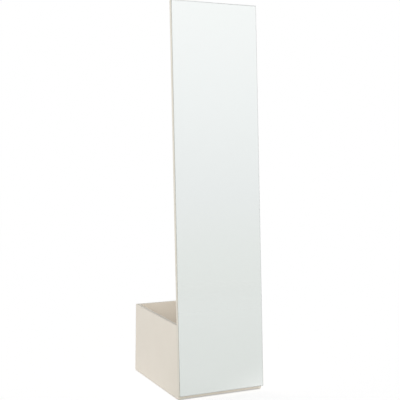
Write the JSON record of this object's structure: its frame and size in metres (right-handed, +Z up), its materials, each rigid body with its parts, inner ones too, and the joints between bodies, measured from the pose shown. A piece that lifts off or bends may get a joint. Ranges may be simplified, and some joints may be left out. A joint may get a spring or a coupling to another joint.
{
  "type": "floor mirror with storage box",
  "caption": "Tall frameless mirror on a beige board, leaning back a little, fixed to the sloping front of an open-topped storage box that stands behind its foot.",
  "frame": {"origin": "on the floor, under the middle of the overall footprint", "axes": "+Z up; the mirror faces -Y and leans back towards +Y, where the storage box stands; +X is to the viewer's right when facing the glass"},
  "size_m": [0.4, 0.4999, 1.6636],
  "materials": {
    "mirror": "silvered float glass, polished, with a ground arris",
    "beige_board": "chipboard faced with matt beige melamine",
    "beige_edging": "matt beige edging",
    "safety_film": "grey film on the back of the glass",
    "foam_tape": "closed-cell foam tape",
    "adhesive": "cured mirror adhesive",
    "beech": "turned beech",
    "zinc_plated_steel": "bright zinc plate",
    "glide_plastic": "off-white plastic"
  },
  "bodies": {
    "root": {"mirror_glass": "mirror", "mirror_safety_film": "safety_film", "mirror_tape_strips": "foam_tape", "mirror_adhesive_beads": "adhesive", "backing_board": "beige_board", "backing_edging_top": "beige_edging", "backing_edging_bottom": "beige_edging", "backing_edging_left": "beige_edging", "backing_edging_right": "beige_edging", "left_side_panel": "beige_board", "left_side_edging_front": "beige_edging", "left_side_edging_top": "beige_edging", "left_side_edging_rear": "beige_edging", "right_side_panel": "beige_board", "right_side_edging_front": "beige_edging", "right_side_edging_top": "beige_edging", "right_side_edging_rear": "beige_edging", "front_panel": "beige_board", "front_panel_edging_top": "beige_edging", "rear_panel": "beige_board", "rear_panel_edging_top": "beige_edging", "bottom_panel": "beige_board", "wall_dowels": "beech", "bottom_dowels": "beech", "mirror_screws": "zinc_plated_steel", "mirror_screw_washers": "zinc_plated_steel", "mirror_threaded_inserts": "zinc_plated_steel", "floor_glides": "glide_plastic", "glide_nails": "zinc_plated_steel"}
  },
  "joints": []
}
